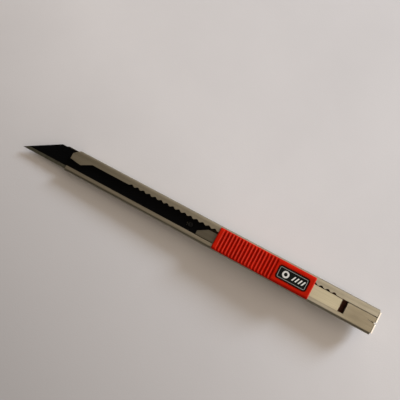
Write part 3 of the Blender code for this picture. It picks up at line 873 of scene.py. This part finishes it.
def make_label():
    half = LABEL_HALF_WIDTH
    outline = rounded_rectangle(LABEL_REAR, LABEL_FRONT, -half, half, LABEL_CORNER)
    plate = new_object("label_base", prism(outline, LABEL_BOTTOM, LABEL_TOP))
    soften(plate, 0.05)
    finish_piece(plate, LABEL_BLACK, "slider", "label_black", "label_plate")

    outlines = []
    for inset in (LINE_INSET, LINE_INSET + LINE_WIDTH):
        reach = half - inset
        corner = LABEL_CORNER - inset
        outlines.append(rounded_rectangle(LABEL_REAR + inset, LABEL_FRONT - inset, -reach, reach, corner))
    line = new_object("label_border", frame_line(outlines[0], outlines[1], PRINT_BOTTOM, LINE_TOP))
    finish_piece(line, SILVER_LINE, "slider", "label_black")

    outer, inner = (circle((RING_X, 0.0), radius) for radius in (RING_OUTER, RING_INNER))
    ring = new_object("label_ring", frame_line(outer, inner, PRINT_BOTTOM, LINE_TOP))
    finish_piece(ring, WHITE_PRINT, "slider", "label_black")
    for i, x in enumerate(STRIPE_PLACES):
        low, high = x - STRIPE_HALF_WIDTH, x + STRIPE_HALF_WIDTH
        reach = STRIPE_HALF_HEIGHT
        outline = (
            (low - STRIPE_LEAN, -reach),
            (high - STRIPE_LEAN, -reach),
            (high + STRIPE_LEAN, reach),
            (low + STRIPE_LEAN, reach),
        )
        stripe = new_object(f"label_stripe_{i}", prism(outline, PRINT_BOTTOM, LINE_TOP))
        finish_piece(stripe, WHITE_PRINT, "slider", "label_black")


def make_clip():
    radius = CLIP_FOLD_RADIUS
    centre = (CLIP_WALL_X + radius, CLIP_BACK_Z + radius)
    path = [(CLIP_WALL_X, CLIP_WALL_TOP)] + arc(centre, radius, 180.0, 270.0, 10)
    spans = (
        (centre[0], CLIP_BACK_Z, CLIP_BOW_X, CLIP_BOW_Z, 28),
        (CLIP_BOW_X, CLIP_BOW_Z, CLIP_PINCH_X, CLIP_BACK_Z, 24),
        (CLIP_PINCH_X, CLIP_BACK_Z, CLIP_FLARE_X, CLIP_FLARE_Z, 12),
    )
    for x0, z0, x1, z1, steps in spans:
        for i in range(1, steps + 1):
            share = i / steps
            path.append((x0 + (x1 - x0) * share, z0 + (z1 - z0) * smooth_step(share)))
    edges = []
    for x, _ in path:
        taper = smooth_step((x - CLIP_BOW_X) / (CLIP_FLARE_X - CLIP_BOW_X))
        half = CLIP_HALF_WIDTH + (CLIP_TIP_HALF_WIDTH - CLIP_HALF_WIDTH) * taper
        edges.append((-half, half))
    clip = new_object("folded_clip", bent_strip(path, CLIP_SHEET, edges))
    half = CLIP_HALF_WIDTH
    low, high = CLIP_LEAF_Z - CLIP_SHEET / 2, CLIP_LEAF_Z + CLIP_SHEET / 2
    combine(clip, box(CLIP_WALL_X, CLIP_LEAF_FRONT, -half, half, low, high), "UNION")
    slot = CLIP_SLOT_WIDTH / 2
    opening = box(-BEYOND, BEYOND, KERF_Y - slot, KERF_Y + slot, CLIP_SLOT_BOTTOM, BODY_HEIGHT + CLEAR)
    combine(clip, opening, "DIFFERENCE")
    soften(clip, 0.2, 3)
    clip.data.materials.append(CLIP_STEEL)
    clip.data.materials.append(PAINTED_GLINT_STEEL)
    # Painted highlight: faces near the top of the end wall get the near-white steel
    glint_edge = to_frame((0.0, 0.0, CLIP_WALL_TOP - CLIP_GLINT_DEPTH)).z
    for face in clip.data.polygons:
        face.material_index = 1 if face.center.z > glint_edge else 0
    return finish_piece(clip, CLIP_STEEL, "tail_clip", "clip_steel", "tail_clip")


def paint_cad(node, material):
    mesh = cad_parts[node].data
    if mesh.materials:
        for i in range(len(mesh.materials)):
            mesh.materials[i] = material
    else:
        mesh.materials.append(material)


# Table, light and camera


def make_table():
    slope = REST_DROP / (REST_FRONT - REST_REAR)
    half = TABLE_SIZE / 2 / MM
    bm = bmesh.new()
    corners = []
    for x, y in ((-half, -half), (half, -half), (half, half), (-half, half)):
        corners.append(bm.verts.new((x, y, slope * (x - along(REST_FRONT)) - TABLE_GAP)))
    bm.faces.new(corners)
    table = new_object("table", bm)
    table.data.materials.append(paper("table_paper"))


def make_world():
    """Soft warm surroundings: bright beyond the tail, dim beyond the blade and on the dark side."""
    world = bpy.data.worlds.new("surroundings")
    bpy.context.scene.world = world
    world.use_nodes = True
    tree = world.node_tree
    background = tree.nodes["Background"]
    place = tree.nodes.new("ShaderNodeTexCoord")

    def towards(direction, numbers):
        """Spreads the share of a direction in the view from one range of numbers to another."""
        dot = tree.nodes.new("ShaderNodeVectorMath")
        dot.operation = "DOT_PRODUCT"
        tree.links.new(place.outputs["Generated"], dot.inputs[0])
        dot.inputs[1].default_value = direction
        spread = tree.nodes.new("ShaderNodeMapRange")
        tree.links.new(dot.outputs["Value"], spread.inputs["Value"])
        for socket, number in zip(spread.inputs[1:5], numbers):
            socket.default_value = number
        return spread.outputs["Result"]

    ramp = tree.nodes.new("ShaderNodeValToRGB")
    tree.links.new(towards(TO_BRIGHT_SIDE, (-1.0, 1.0, 0.0, 1.0)), ramp.inputs["Fac"])
    first, *between, last = SURROUNDINGS
    elements = ramp.color_ramp.elements
    for element, (position, colour) in zip(elements, (first, last)):
        element.position = position
        element.color = (*colour, 1.0)
    for position, colour in between:
        elements.new(position).color = (*colour, 1.0)
    tree.links.new(ramp.outputs["Color"], background.inputs["Color"])
    tree.links.new(towards(TO_DARK_SIDE, DARK_SIDE_FADE), background.inputs["Strength"])


def add_light(name, direction, distance, size, power, colour):
    data = bpy.data.lights.new(name, "AREA")
    data.shape = "DISK"
    data.size = size
    data.energy = power
    data.color = colour
    light = bpy.data.objects.new(name, data)
    light.location = direction * distance
    light.rotation_euler = (-direction).to_track_quat("-Z", "Y").to_euler()
    bpy.context.scene.collection.objects.link(light)
    return light


def make_lights():
    key = add_light("key", KEY_DIRECTION, KEY_DISTANCE, KEY_SIZE, KEY_POWER, KEY_COLOUR)
    key.visible_glossy = False
    glint = add_light("glint", GLINT_DIRECTION, GLINT_DISTANCE, GLINT_SIZE, GLINT_POWER, (1.0, 1.0, 1.0))
    glint.visible_diffuse = False


def make_camera():
    data = bpy.data.cameras.new("camera")
    data.sensor_fit = "HORIZONTAL"
    data.angle = math.radians(CAMERA_FOV)
    data.clip_start = 0.005
    data.clip_end = 20.0
    camera = bpy.data.objects.new("camera", data)
    camera.location = CAMERA_PLACE
    camera.rotation_euler = [math.radians(turn) for turn in CAMERA_TURNS]
    bpy.context.scene.collection.objects.link(camera)
    bpy.context.scene.camera = camera


make_channel()
make_clip()
make_carrier()
make_stud()
make_blade()
make_slide()
make_label()
paint_cad("lock_spring", SPRING_STEEL)
paint_cad("slide_rivet_rear", RIVET_STEEL)
paint_cad("slide_rivet_front", RIVET_STEEL)
make_table()
make_world()
make_lights()
make_camera()
bpy.context.scene.view_settings.view_transform = "Standard"
